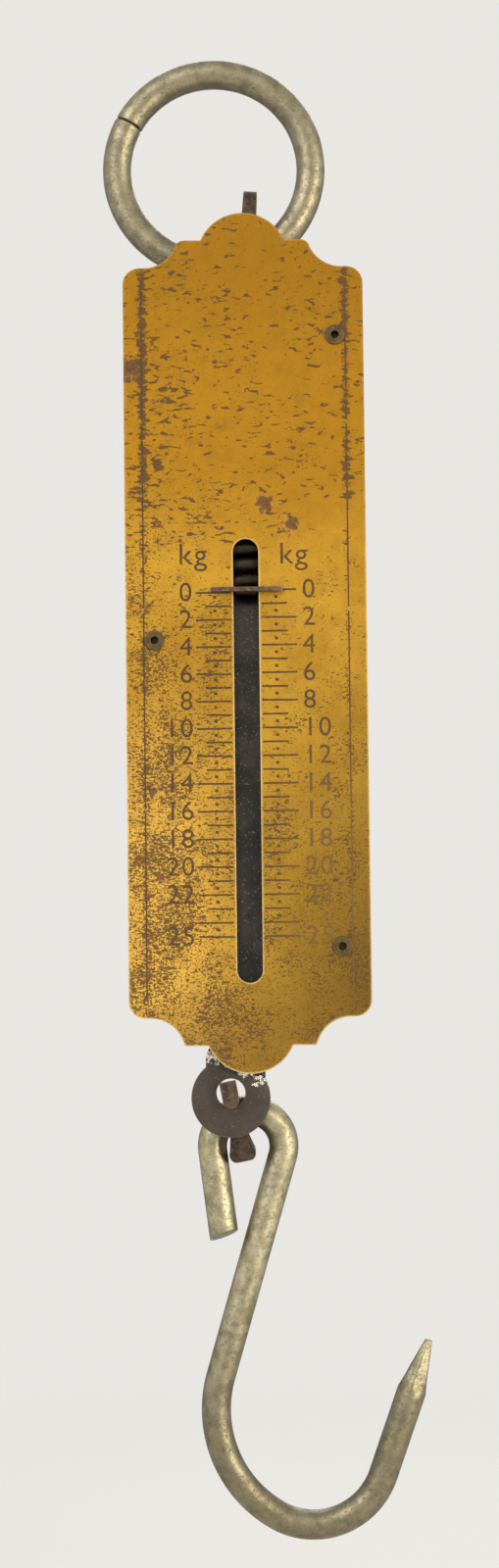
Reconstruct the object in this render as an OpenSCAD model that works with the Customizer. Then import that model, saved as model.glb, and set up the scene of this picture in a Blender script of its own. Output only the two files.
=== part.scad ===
// Hanging spring balance for loads up to 25 kg.
// A brass face plate with a slotted scale closes a pressed sheet case. The case holds an extension
// spring, which carries a draw bar with a pointer. The balance hangs from a ring and a link, and the
// load hangs from a hook on a second link.
// Sizes are in millimetres. The face looks towards -Y, and the balance hangs along Z.
// Each piece is drawn with the zero mark at height 0 and the back of the face plate at depth 0.
// hung() then moves it, so that the origin is the point of the ring that hangs on a nail.

/* [Face plate] */
// Width of the face plate
plate_w = 43.6; // [42.8:0.2:48]
// Height of the face plate over both lobes
plate_h = 156; // [152:1:160]
// Thickness of the brass sheet
plate_t = 0.9; // [0.6:0.1:1.2]
// Height of the top lobe above the zero mark
plate_top = 69; // [68:0.5:70]
// Half the width of a round lobe
lobe_half_w = 7.6; // [7:0.1:8]
// How far a lobe stands out past the straight step beside it
lobe_rise = 5; // [4:0.1:6]
// Half the width of the straight step
step_half_w = 11.7; // [11:0.1:12]
// Radius of the hollow between the step and the shoulder
cove_r = 6.3; // [5.4:0.1:6.4]
// Radius of the rounded outer corner of the top step
step_round_r = 1.5; // [0.6:0.1:2]
// Height of the step above the shoulder beside it
shoulder_drop = 5; // [4:0.1:5.3]
// Radius of the four outer corners
corner_r = 3; // [2:0.1:3.3]

/* [Scale] */
// Pointer travel for one kilogram
kg_pitch = 2.5; // [2.4:0.02:2.52]
// Largest load on the scale, in kilograms
max_kg = 25; // [22:1:25]
// Width of the slot
slot_w = 4.6; // [4.4:0.1:6]
// Slot length above the zero mark
slot_above = 9.3; // [7:0.1:12]
// Slot length below the last mark
slot_below = 8.3; // [7:0.1:9]

/* [Case] */
// Thickness of the pressed sheet of the case
case_t = 0.8; // [0.6:0.1:1]
// Distance from the top step of the face plate down to the open top of the case
case_top_inset = 9.1; // [8.8:0.1:10]
// Distance from the bottom step of the face plate up to the bottom of the case
case_bottom_inset = 3.7; // [3:0.1:5]
// Height of each ear that is fastened to the face plate
ear_h = 9.6; // [8:0.1:11]
// Sheet left outside each eyelet on an ear
ear_margin = 3.4; // [2.6:0.1:4]

/* [Eyelets] */
// Distance of the eyelets from the centre line
eyelet_x = 16.6; // [16.2:0.1:17]
// Height between one eyelet and the next
eyelet_pitch = 55.4; // [50:0.1:56]
// Outer radius of an eyelet's flange
eyelet_flange_r = 1.8; // [1.6:0.05:2.2]
// Outer radius of an eyelet's tube
eyelet_r = 1.2; // [1:0.05:1.4]
// Radius of the hole in an eyelet, which is closed at the back
eyelet_bore_r = 0.7; // [0.4:0.05:0.85]
// Thickness of an eyelet's flange
eyelet_flange_t = 0.4; // [0.3:0.05:0.6]

/* [Spring] */
// Diameter of the spring wire
wire_d = 2.5; // [2.2:0.05:2.5]
// Diameter of a coil, measured between wire centres
coil_d = 18.8; // [18.2:0.1:19]
// Number of turns
turns = 15; // [13:1:15]
// Distance from one coil to the next
coil_pitch = 3; // [2.95:0.01:3.02]
// Room between the coils and the case around them
coil_room = 0.35; // [0.3:0.05:0.5]
// Height of the holes for the ends of the spring past the first and last coil
end_reach = 3.1; // [2.9:0.1:3.4]

/* [Anchor] */
// Thickness of the plate that carries the upper bar
anchor_t = 2; // [1.5:0.1:2.2]
// Depth of the anchor plate below the open top of the case
anchor_drop = 4.4; // [4:0.1:4.5]
// Thickness of the guide plate at the bottom of the case
guide_t = 1.6; // [1.2:0.1:2]
// Width of the side tabs that lock both plates in the walls of the case
tab_w = 5; // [3:0.5:7]
// How far those tabs stand out of the wall
tab_proud = 0.4; // [0.2:0.1:0.8]

/* [Upper bar] */
// Thickness of the upper bar
top_bar_t = 1.8; // [1.4:0.1:2]
// Width of the upper bar
top_bar_w = 8; // [7.6:0.1:8.4]
// Outer radius of the eye of the upper bar
top_eye_r = 5; // [4.9:0.05:5.1]
// Radius of the hole in that eye
top_hole_r = 2.9; // [2.8:0.05:3]
// Diameter of the cross pin below the anchor plate
pin_d = 2.4; // [2:0.1:2.5]
// Length of the cross pin
pin_l = 8.4; // [7:0.2:8.6]

/* [Draw bar] */
// Width of the draw bar
bar_w = 10.7; // [10:0.1:11]
// Thickness of the draw bar
bar_t = 1.6; // [1.4:0.1:1.7]
// Depth of the front of the draw bar behind the face plate
bar_y = 2; // [1.9:0.1:2.2]
// Inner radius of the bends in the draw bar
bend_r = 0.8; // [0.5:0.1:1]
// Radius of the round eye at the bottom of the bar
eye_r = 7.1; // [6.8:0.1:7.4]
// Radius of the hole in that eye
eye_hole_r = 2.6; // [2.5:0.05:2.8]
// Height of that hole above the centre of the eye
eye_hole_rise = 0.9; // [0:0.1:1.2]
// Distance from the bottom of the case down to the centre of the eye
eye_drop = 13.1; // [12.8:0.1:15]
// How far the neck stands to the left of the centre line
neck_x = 2.8; // [2:0.1:3.2]
// How far the eye stands to the left of the centre line
eye_x = 3.7; // [3:0.1:4.2]
// How far the joggle in the neck brings the eye forward
joggle = 1.4; // [1:0.1:1.5]
// Slope of the joggle across the neck, in degrees
joggle_slope = 34; // [10:1:38]

/* [Pointer] */
// Length of the pointer across the scale
pointer_l = 13.2; // [11:0.2:15]
// Thickness of the pointer
pointer_t = 0.8; // [0.6:0.1:1]
// Width of the stem that passes through the slot
stem_w = 3.8; // [3:0.1:3.9]
// Room between the pointer and the front of the face plate
needle_gap = 0.4; // [0.3:0.1:1]
// Depth of the needle from front to back
needle_d = 1.4; // [1:0.1:2.2]
// Diameter of the rivet that holds the pointer
rivet_d = 2; // [1.6:0.1:2.2]

/* [Ring] */
// Diameter of the ring wire
ring_wire = 5.3; // [4.8:0.1:5.4]
// Outer diameter of the ring
ring_od = 41.4; // [39:0.2:44]
// How far the middle of the ring stands to the left of the centre line
ring_x = 5.1; // [3:0.1:5.4]
// Room between the ring and the eye of the upper bar
ring_gap = 1.4; // [0.8:0.1:1.6]
// Width of the joint where the ends of the ring wire meet
ring_joint = 0.35; // [0.2:0.05:0.6]
// Direction of that joint from the middle of the ring, in degrees
ring_joint_turn = 151; // [120:1:170]

/* [Upper link] */
// Length of the upper link over its round ends
link_l = 22.2; // [21.8:0.1:24]
// Width of the strip of the upper link
link_w = 3.4; // [3:0.1:3.6]
// Width of that strip at its top
link_top_w = 2.5; // [2.1:0.1:2.8]
// Thickness of that strip
link_t = 1.6; // [1.3:0.1:1.7]
// Room on each side of the ring wire in the link
link_room = 0.4; // [0.35:0.05:0.5]
// Distance of the lower end of the upper link to the right of the centre line
link_x = 0.4; // [0:0.1:0.5]
// Sideways slope of the upper link, in degrees
link_tilt = 3.5; // [0:0.5:4]

/* [Lower link] */
// Width of the tongue of the lower link
low_link_w = 3; // [2.8:0.1:3.2]
// Width of the lower link at its round lower end
low_link_end_w = 4.8; // [4.4:0.1:5]
// Thickness of that strip
low_link_t = 1.8; // [1.5:0.1:1.9]
// Radius of the round tongue that lies in the eye of the draw bar
tongue_r = 1.4; // [1.2:0.05:1.5]
// Room between the eye and the pieces on both sides of it
tongue_gap = 0.7; // [0.5:0.1:0.9]
// Distance from the tongue down to the bottom of the lower link
low_link_drop = 12; // [11.8:0.1:13]
// Height of the nose in front of the eye above the tongue
nose_h = 1.8; // [1.2:0.1:2]
// Room on each side of the hook wire in the link
low_link_room = 0.4; // [0.35:0.05:0.5]
// Sideways slope of the lower link, in degrees
low_link_tilt = 11; // [8:0.5:13]

/* [Hook] */
// Diameter of the hook wire
hook_wire = 5.3; // [5:0.1:5.5]
// How far the middle of the closed end stands to the right of the place where the link holds it
hook_off = 2.4; // [1.6:0.1:2.6]
// Radius of the closed end of the hook, at the middle of the wire
hook_eye_r = 6.5; // [6.3:0.05:6.7]
// Distance from the tongue down to the middle of the hook wire
hook_hang = 3; // [2.8:0.05:3.1]
// Slope of the shank, in degrees
shank_slope = 16.4; // [14:0.1:19]
// Straight length of the shank
shank_l = 41.2; // [36:0.2:46]
// Slope of the short end, in degrees
short_slope = 7.1; // [5:0.1:8]
// Straight length of the short end
short_l = 15.4; // [10:0.1:16]
// Radius of the bowl next to the shank
bowl_r1 = 21.7; // [18:0.1:24]
// Radius of the bowl next to the tip
bowl_r2 = 13.3; // [11.5:0.1:16]
// Direction in which the bowl passes from one radius to the other, in degrees from straight down
bowl_join = 60; // [45:1:75]
// Direction of the tip, in degrees from straight down
tip_turn = 160.3; // [150:0.1:168]
// Straight length from the bowl to the point
tip_l = 25.5; // [22:0.1:29]
// Length of the forged point
point_l = 9.5; // [7:0.1:11]
// Radius of the blunt end of the point
point_r = 0.7; // [0.4:0.1:1.2]

/* [Hidden] */
$fn = 64;

// Clearance of a piece that is pushed or riveted into its seat
fit = 0.05;
// Clearance around a bar that slides in a slot
slide_fit = 0.2;
// Room between pieces that pass each other
pass = 0.3;
// Length that reaches through any sheet when a hole is cut
through = 200;

// Heights on the face plate
plate_bottom = plate_top - plate_h;
plate_mid = (plate_top + plate_bottom) / 2;
step_top = plate_top - lobe_rise;
step_bottom = plate_bottom + lobe_rise;
lobe_r = (lobe_half_w * lobe_half_w + lobe_rise * lobe_rise) / (2 * lobe_rise);
slot_top = slot_above;
slot_bottom = -kg_pitch * max_kg - slot_below;
eyelet_z = plate_mid + eyelet_pitch;

// Section of the spring and the case
coil_r = coil_d / 2;
wire_r = wire_d / 2;
spring_y = coil_r + wire_r + coil_room;
case_ro = spring_y + case_t;
case_top = step_top - case_top_inset;
case_bottom = step_bottom + case_bottom_inset;
ear_w = eyelet_x + ear_margin;
tab_reach = case_ro + tab_proud;

// Heights along the spring
first_coil_z = pointer_t / 2 + wire_r + pass;
coil_z0 = first_coil_z - coil_pitch / 2;
coil_z1 = coil_z0 + turns * coil_pitch;
low_hole_z = coil_z0 + end_reach;
high_hole_z = coil_z1 - end_reach;
end_hole_r = wire_r + pass;
end_run = 3;

// Spring path: rings on each turn, sides of the tube, rings on each bend
curl_rings = 8;
tube_sides = 6;
bend_rings = 5;
turn_in_r = 3;
turn_in_y = sqrt(pow(coil_r - turn_in_r, 2) - pow(turn_in_r, 2));
turn_in_a = atan2(turn_in_y, -turn_in_r);

// Anchor plate and upper bar
anchor_z = case_top - anchor_drop;
anchor_low = anchor_z - anchor_t;
pin_z = anchor_low - fit - pin_d / 2;
top_eye_z = anchor_z + sqrt(pow(top_eye_r, 2) - pow(top_bar_w / 2, 2)) + slide_fit;
top_tab_end = end_hole_r + 2;

// Draw bar
shelf_top = -pointer_t / 2;
shelf_low = shelf_top - bar_t;
bar_back = bar_y + bar_t;
strip_top = shelf_top - bend_r - bar_t;
strip_lap = 1;
skin = 0.01;
shear_r = 0.5;
ledge_part = 0.2;
tab_y = spring_y - bar_t / 2;
tab_top = low_hole_z + end_hole_r + 2.2;
eye_z = case_bottom - eye_drop;
hole_z = eye_z + eye_hole_rise;
eye_y = bar_y - joggle;
eye_back = eye_y + bar_t;
neck_top = case_bottom - pass;
neck_low = neck_top - 5;
joggle_z = (neck_low + eye_z + eye_r) / 2 - 0.6;

// Pointer
needle_back = -plate_t - needle_gap;
needle_front = needle_back - needle_d;
rivet_y = bar_y + bar_t + bend_r + 2.2;
rivet_head_r = rivet_d * 0.85;
rivet_head_h = 0.7;

// Ring
ring_out = ring_od / 2;
ring_mid = ring_out - ring_wire / 2;
ring_z = top_eye_z + sqrt(pow(ring_out + top_eye_r + ring_gap, 2) - pow(ring_x, 2));
hang_z = ring_z + ring_mid - ring_wire / 2;

// Upper link, which lies below the top of the hole in the upper bar's eye
link_half = ring_wire / 2 + link_room + link_t;
link_side = link_x + link_w / 2;
link_over = 0.15;
link_seat = top_eye_z + sqrt(pow(top_hole_r, 2) - pow(link_side, 2)) - slide_fit;

// Lower link and hook
tongue_z = hole_z - eye_hole_r + tongue_r + 0.15;
low_link_y = eye_back + tongue_gap;
low_link_half = hook_wire / 2 + low_link_room + low_link_t;
hook_y = low_link_y + low_link_half;
low_link_up = hook_wire / 2 - hook_hang + 2 * low_link_room + low_link_t;
nose_front = eye_y - tongue_gap / 2 - low_link_t;
hook_r = hook_wire / 2;
hang_x = -eye_x + hook_hang * sin(low_link_tilt);
hang_low = tongue_z - hook_hang * cos(low_link_tilt);
flare_z = hang_low - hook_r - tongue_z;
strip_less = 0.5;
ball_swell = 0.02;
hook_cx = hang_x + hook_off;
hook_cz = hang_low - sqrt(pow(hook_eye_r, 2) - pow(hook_off, 2));

echo(least_spring_gap = spring_gap(), hang_point = [-ring_x, spring_y, hang_z]);
echo(link_hinge = [link_x, link_seat], ring_centre = [-ring_x, ring_z], top_eye = top_eye_z);
echo(tongue = [-eye_x, tongue_z], hook_hinge = [hook_cx, hook_y, hook_cz + hook_eye_r]);
echo(spring_ends = [coil_z0, coil_z1], holes = [low_hole_z, high_hole_z]);

// Moves a piece so that the hanging point of the ring is the origin
module hung() {
    translate([ring_x, -spring_y, -hang_z]) children();
}

// Stands a drawing made in X and Z upright, and gives it depth from one Y to another
module upright(y_from, y_to) {
    translate([0, y_to, 0]) rotate([90, 0, 0]) linear_extrude(y_to - y_from) children();
}

// Draws a side view made in Y and Z, and gives it width across X
module sideways(width) {
    translate([-width / 2, 0, 0]) rotate([90, 0, 90]) linear_extrude(width) children();
}

// A bar between two heights with round ends
module stadium(low, high, r) {
    translate([-r, low + r]) square([2 * r, high - low - 2 * r]);
    translate([0, low + r]) circle(r);
    translate([0, high - r]) circle(r);
}

// One end of the face plate, from the middle up to the lobe, with the corner radius of its step
module plate_end(height, round_r) {
    step = height - lobe_rise;
    shoulder = step - shoulder_drop;
    straight_w = plate_w / 2 - corner_r;
    hollow_x = step_half_w + cove_r;
    over = cove_r - shoulder_drop;
    round_x = hollow_x - sqrt(pow(cove_r + round_r, 2) - pow(over + round_r, 2));
    meet_z = step - round_r + (over + round_r) * round_r / (cove_r + round_r);
    translate([-plate_w / 2, -1]) square([plate_w, shoulder - corner_r + 1]);
    translate([-straight_w, 0]) square([2 * straight_w, shoulder]);
    for (side = [-1, 1]) translate([side * straight_w, shoulder - corner_r]) circle(corner_r);
    translate([-round_x, 0]) square([2 * round_x, step]);
    for (side = [-1, 1]) translate([side * round_x, step - round_r]) circle(round_r);
    difference() {
        translate([-hollow_x, 0]) square([2 * hollow_x, meet_z - ledge_part * round_r]);
        for (side = [-1, 1]) translate([side * hollow_x, shoulder + cove_r]) circle(cove_r);
    }
    translate([0, height - lobe_r]) intersection() {
        circle(lobe_r);
        translate([-lobe_r, lobe_r - lobe_rise - 1]) square([2 * lobe_r, lobe_rise + 1]);
    }
}

module plate_outline() {
    translate([0, plate_mid]) plate_end(plate_top - plate_mid, step_round_r);
    translate([0, plate_mid]) mirror([0, 1]) plate_end(plate_mid - plate_bottom, shear_r);
}

// The three eyelets stand at the right, the left and the right again
module at_eyelets() {
    for (spot = [-1, 0, 1])
        translate([abs(spot) * 2 * eyelet_x - eyelet_x, plate_mid + spot * eyelet_pitch]) children();
}

module face_plate() {
    color("goldenrod") upright(-plate_t, 0) difference() {
        plate_outline();
        stadium(slot_bottom, slot_top, slot_w / 2);
        at_eyelets() circle(eyelet_r + fit);
    }
}

// Plan of a plate that fills the case, seen from above
module case_plan(r) {
    translate([0, spring_y]) circle(r);
    translate([-r, 0]) square([2 * r, spring_y]);
}

module locking_plate(r) {
    difference() {
        union() {
            difference() {
                case_plan(r);
                translate([-r, -r]) square([2 * r, r + fit]);
            }
            translate([-tab_reach, spring_y - tab_w - 1]) square([2 * tab_reach, tab_w]);
        }
        children();
    }
}

module back_case() {
    tab_y0 = spring_y - tab_w - 1 - fit;
    color("saddlebrown") difference() {
        union() {
            translate([0, 0, case_bottom]) linear_extrude(case_top - case_bottom) difference() {
                case_plan(case_ro);
                case_plan(spring_y);
                translate([-case_ro, -case_ro]) square([2 * case_ro, case_ro]);
            }
            for (spot = [-1, 0, 1]) ear(spot);
        }
        upright(-through, through) at_eyelets() circle(eyelet_r + fit);
        for (plate = [[anchor_low, anchor_t], [case_bottom, guide_t]])
            translate([-through / 2, tab_y0, plate[0] - fit])
                cube([through, tab_w + 2 * fit, plate[1] + 2 * fit]);
    }
}

// An ear runs from the straight wall of the case out under its eyelet
module ear(spot) {
    side = abs(spot) * 2 - 1;
    translate([side < 0 ? -ear_w : spring_y, 0, plate_mid + spot * eyelet_pitch - ear_h / 2])
        cube([ear_w - spring_y, case_t, ear_h]);
}

// The eyelets are closed at the back, like semi-tubular rivets
module eyelets() {
    color("darkgoldenrod") difference() {
        union() {
            upright(-plate_t, case_t) at_eyelets() circle(eyelet_r);
            upright(-plate_t - eyelet_flange_t, -plate_t) at_eyelets() circle(eyelet_flange_r);
            upright(case_t, case_t + eyelet_flange_t) at_eyelets() circle(eyelet_flange_r);
        }
        upright(-through, case_t + eyelet_flange_t / 2) at_eyelets() circle(eyelet_bore_r);
    }
}

module anchor_plate() {
    slot = [top_bar_w + 2 * slide_fit, top_bar_t + 2 * slide_fit];
    color("dimgray") translate([0, 0, anchor_low]) linear_extrude(anchor_t) locking_plate(spring_y - fit)
        translate([-slot[0] / 2, spring_y - slot[1] / 2]) square(slot);
}

module guide_plate() {
    slot = [bar_w + 2 * slide_fit, bar_t + 2 * slide_fit];
    color("dimgray") translate([0, 0, case_bottom]) linear_extrude(guide_t) locking_plate(spring_y - fit)
        translate([-slot[0] / 2, bar_y - slide_fit]) square(slot);
}

// The upper bar carries the spring inside the case and hangs from the upper link above it
module upper_bar() {
    half_t = top_bar_t / 2;
    tab_low = high_hole_z - top_tab_end - end_hole_r + 1;
    color("slategray") difference() {
        upright(spring_y - half_t, spring_y + half_t) difference() {
            union() {
                stadium(tab_low, top_eye_z, top_bar_w / 2);
                translate([0, top_eye_z]) circle(top_eye_r);
            }
            translate([0, top_eye_z]) circle(top_hole_r);
            translate([0, high_hole_z]) circle(end_hole_r);
        }
        translate([0, 0, pin_z]) upright_pin(pin_d / 2 + fit, through);
    }
}

// A pin along Y through the middle of the spring, at height 0
module upright_pin(r, length) {
    translate([0, spring_y + length / 2, 0]) rotate([90, 0, 0]) cylinder(r = r, h = length);
}

module cross_pin() {
    color("silver") translate([0, 0, pin_z]) upright_pin(pin_d / 2, pin_l);
}

// Side view of the strip that forms the tab, the shelf and the face of the draw bar
module bar_side() {
    bend_out = bend_r + bar_t;
    translate([bar_y, strip_top - 2 * strip_lap]) square([bar_t, 2 * strip_lap]);
    translate([bar_y + bend_out, shelf_low]) square([tab_y - bar_y - bend_out - bend_r, bar_t]);
    translate([tab_y, shelf_low + bend_out]) square([bar_t, tab_top - shelf_low - bend_out]);
    translate([bar_y + bend_out, shelf_top - bend_out]) bend([-bend_out, 0]);
    translate([tab_y - bend_r, shelf_low + bend_out]) bend([0, -bend_out]);
}

// A quarter of a round bend; corner tells which quarter is kept
module bend(corner) {
    bend_out = bend_r + bar_t;
    intersection() {
        difference() {
            circle(bend_out);
            circle(bend_r);
        }
        translate(corner) square(bend_out);
    }
}

// Outline of the face strip, the neck and the round eye, seen from the front
module strip_outline() {
    half = bar_w / 2;
    top = strip_top - strip_lap;
    polygon([[-half, top], [half, top], [half, neck_top], [half - neck_x, neck_low],
        [half - neck_x, eye_z], [-half - neck_x, eye_z], [-half - neck_x, neck_low], [-half, neck_top]]);
    translate([-eye_x, eye_z]) circle(eye_r);
}

// Side view of the neck: the strip, the slanted step and the forward strip below it. It is a hair
// thinner than the bent part of the bar, which it overlaps.
module joggle_side() {
    half = 1.6;
    front = bar_y + skin;
    back = bar_back - skin;
    polygon([[front, through], [front, half], [front - joggle, -half], [front - joggle, -through],
        [back - joggle, -through], [back - joggle, -half], [back, half], [back, through]]);
}

module draw_bar() {
    color("slategray") {
        difference() {
            sideways(bar_w) bar_side();
            translate([0, 0, low_hole_z]) upright_pin(end_hole_r, bar_t * 2);
            translate([0, rivet_y, shelf_low - 1]) cylinder(r = rivet_d / 2 + fit, h = bar_t + 2);
        }
        difference() {
            intersection() {
                upright(0, bar_y * 3) strip_outline();
                translate([-neck_x, 0, joggle_z]) rotate([0, joggle_slope, 0])
                    sideways(through) joggle_side();
            }
            translate([-eye_x, through / 2, hole_z]) rotate([90, 0, 0]) cylinder(r = eye_hole_r, h = through);
        }
    }
}

// The pointer is one flat piece: a foot on the shelf, a stem through the slot and the needle
module pointer() {
    foot_w = stem_w + 2;
    color("black") translate([0, 0, -pointer_t / 2]) linear_extrude(pointer_t) difference() {
        union() {
            translate([-foot_w / 2, rivet_y - 2]) square([foot_w, 4]);
            translate([-stem_w / 2, needle_back - needle_d / 2]) square([stem_w, rivet_y - needle_back]);
            needle_plan();
        }
        translate([0, rivet_y]) circle(rivet_d / 2 + fit);
    }
}

// The needle, pointed at both ends
module needle_plan() {
    half = pointer_l / 2;
    middle = (needle_back + needle_front) / 2;
    polygon([[-half, middle], [-half + 2.4, needle_front], [half - 2.4, needle_front], [half, middle],
        [half - 2.4, needle_back], [-half + 2.4, needle_back]]);
}

module pointer_rivet() {
    top = pointer_t / 2;
    color("gray") translate([0, rivet_y, 0]) {
        translate([0, 0, shelf_low]) cylinder(r = rivet_d / 2, h = top - shelf_low);
        translate([0, 0, top]) cylinder(r = rivet_head_r, h = rivet_head_h);
        translate([0, 0, shelf_low - rivet_head_h]) cylinder(r = rivet_head_r, h = rivet_head_h);
    }
}

module suspension_ring() {
    color("darkkhaki") translate([-ring_x, spring_y, ring_z]) rotate([90, 0, 0]) difference() {
        rotate_extrude() translate([ring_mid, 0]) circle(ring_wire / 2);
        rotate([0, 0, ring_joint_turn]) translate([ring_mid - ring_wire, -ring_joint / 2, -ring_wire])
            cube([2 * ring_wire, ring_joint, 2 * ring_wire]);
    }
}

// A closed loop of strip, seen from the side, between two heights
module loop_side(low, high, half, thick) {
    difference() {
        stadium(low, high, half);
        stadium(low + thick, high - thick, half - thick);
    }
}

// The outline of a link seen from the front: a strip that changes in width and has a round end
module link_face(far, far_w, near, near_w, round_r) {
    way = sign(far - near);
    inner = far - way * round_r;
    polygon([[-near_w / 2, near], [near_w / 2, near], [far_w / 2, inner], [-far_w / 2, inner]]);
    for (side = [-1, 1]) translate([side * (far_w / 2 - round_r), inner]) circle(round_r);
    translate([round_r - far_w / 2, min(far, inner - way)]) square([far_w - 2 * round_r, round_r + 1]);
}

module upper_link() {
    top = link_l - link_t;
    color("sienna") translate([link_x, spring_y, link_seat]) rotate([0, link_tilt, 0]) intersection() {
        sideways(link_w) loop_side(-link_t, top, link_half, link_t);
        upright(-link_half - 1, link_half + 1) link_face(top + link_over, link_top_w, -2 * link_t, link_w, link_t / 2);
    }
}

// The lower link is a strip with a closed loop round the hook wire and a tongue in the draw bar's eye
module lower_link() {
    color("sienna") translate([-eye_x, 0, tongue_z]) rotate([0, -low_link_tilt, 0]) {
        translate([0, hook_y, 0]) intersection() {
            sideways(low_link_end_w) loop_side(-low_link_drop, low_link_up, low_link_half, low_link_t);
            upright(-low_link_half - 1, low_link_half + 1)
                union() {
                    link_face(-low_link_drop - link_over, low_link_end_w, flare_z, low_link_w - strip_less, low_link_t);
                    translate([(strip_less - low_link_w) / 2, flare_z - 1])
                        square([low_link_w - strip_less, low_link_up - flare_z + 2]);
                }
        }
        translate([0, low_link_y + low_link_t, 0]) rotate([90, 0, 0])
            cylinder(r = tongue_r, h = low_link_y + low_link_t - nose_front);
        translate([-low_link_w / 2, nose_front, 0]) cube([low_link_w, low_link_t, tongue_r + nose_h]);
        upright(nose_front, nose_front + low_link_t) circle(low_link_w / 2);
    }
}

// Moves along a circle that lies in X and Z: the arc of wire starts at one angle and covers a sweep
module wire_arc(centre, r, start, sweep) {
    translate([centre[0], hook_y, centre[1]]) rotate([90, 0, 0]) rotate([0, 0, start])
        rotate_extrude(angle = sweep) translate([r, 0]) circle(hook_r);
}

// A straight piece of wire from a point in X and Z towards an angle
module wire_run(from, angle, length, end_r) {
    translate([from[0], hook_y, from[1]]) rotate([0, 90 - angle, 0]) cylinder(r1 = hook_r, r2 = end_r, h = length);
}

// A ball a hair thicker than the wire, which joins two runs of wire into one solid
module wire_ball(spot) {
    translate([spot[0], hook_y, spot[1]]) sphere(r = hook_r + ball_swell);
}

function polar(centre, r, angle) = [centre[0] + r * cos(angle), centre[1] + r * sin(angle)];

module hook() {
    eye = [hook_cx, hook_cz];
    short_a = 180 + short_slope;
    shank_a = -shank_slope;
    short_start = polar(eye, hook_eye_r, short_a);
    shank_start = polar(eye, hook_eye_r, shank_a);
    bowl_start = polar(shank_start, shank_l, shank_a - 90);
    c1 = polar(bowl_start, bowl_r1, shank_a);
    join_a = 180 + bowl_join;
    join = polar(c1, bowl_r1, join_a);
    c2 = polar(join, bowl_r2, bowl_join);
    tip_a = tip_turn - 180;
    tip_start = polar(c2, bowl_r2, tip_a);
    point_start = polar(tip_start, tip_l - point_l, tip_a + 90);
    color("darkkhaki") {
        wire_run(short_start, short_a + 90, short_l, hook_r);
        wire_arc(eye, hook_eye_r, shank_a, short_a - shank_a);
        wire_run(shank_start, shank_a - 90, shank_l, hook_r);
        wire_arc(c1, bowl_r1, 180 + shank_a, bowl_join - shank_a);
        wire_arc(c2, bowl_r2, join_a, tip_turn - bowl_join);
        wire_run(tip_start, tip_a + 90, tip_l - point_l, hook_r);
        wire_run(point_start, tip_a + 90, point_l, point_r);
        for (spot = [short_start, shank_start, bowl_start, join, tip_start, point_start]) wire_ball(spot);
    }
}

// Middle line of the spring: a straight end in the draw bar, the turns, a straight end in the upper bar
function helix_z(a) = coil_z0 + coil_pitch * (a - 90) / 360;
helix_start = turn_in_a;
helix_end = 360 * turns + 180 - turn_in_a;
helix_rings = round((helix_end - helix_start) * curl_rings / 360);
bend_sweep = turn_in_a;

lower_lead = [
    [0, -end_run, low_hole_z],
    [0, wire_d * 0.75, low_hole_z],
    [0, turn_in_y * 0.6, (low_hole_z + coil_z0) / 2],
];
lower_turn = [for (i = [0 : bend_rings - 1])
    [turn_in_r * (cos(bend_sweep * i / bend_rings) - 1), turn_in_y + turn_in_r * sin(bend_sweep * i / bend_rings),
        helix_z(turn_in_a * i / bend_rings + 90 * (1 - i / bend_rings))]];
coils = [for (i = [0 : helix_rings]) let (a = helix_start + (helix_end - helix_start) * i / helix_rings)
    [coil_r * cos(a), coil_r * sin(a), helix_z(a)]];
half_line = concat(lower_lead, lower_turn);
upper_turn = [for (i = [len(half_line) - 1 : -1 : 0])
    [-half_line[i][0], half_line[i][1], coil_z0 + coil_z1 - half_line[i][2]]];
spring_line = concat(half_line, coils, upper_turn);

function unit(v) = v / norm(v);
function run_at(i) = unit(spring_line[min(i + 1, len(spring_line) - 1)] - spring_line[max(i - 1, 0)]);
// Sides are kept in step by a direction that turns with the coils
function side_at(p, t) = unit(cross(t, cross([p[0], p[1], 40], t)));
function ring_at(i) = let (p = spring_line[i], t = run_at(i), u = side_at(p, t), v = cross(t, u))
    [for (s = [0 : tube_sides - 1]) p + wire_r * (cos(360 * s / tube_sides) * u + sin(360 * s / tube_sides) * v)];

// Least free space between coils: every point against all points at least three quarters of a turn on
function spring_gap() = min([for (i = [0 : len(spring_line) - 1]) for (j = [i + 6 : 1 : len(spring_line) - 1])
    norm(spring_line[i] - spring_line[j])]) - wire_d;

module spring() {
    count = len(spring_line);
    points = [for (i = [0 : count - 1]) each ring_at(i)];
    last = (count - 1) * tube_sides;
    walls = [for (i = [0 : count - 2]) for (s = [0 : tube_sides - 1]) let (n = (s + 1) % tube_sides, a = i * tube_sides)
        each [[a + s, a + n, a + tube_sides + n], [a + s, a + tube_sides + n, a + tube_sides + s]]];
    first_cap = [for (s = [1 : tube_sides - 2]) [0, s + 1, s]];
    last_cap = [for (s = [1 : tube_sides - 2]) [last, last + s, last + s + 1]];
    color("lightsteelblue") translate([0, spring_y, 0]) polyhedron(points, concat(walls, first_cap, last_cap));
}

hung() face_plate();
hung() back_case();
hung() eyelets();
hung() anchor_plate();
hung() guide_plate();
hung() upper_bar();
hung() cross_pin();
hung() spring();
hung() draw_bar();
hung() pointer();
hung() pointer_rivet();
hung() suspension_ring();
hung() upper_link();
hung() lower_link();
hung() hook();
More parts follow.
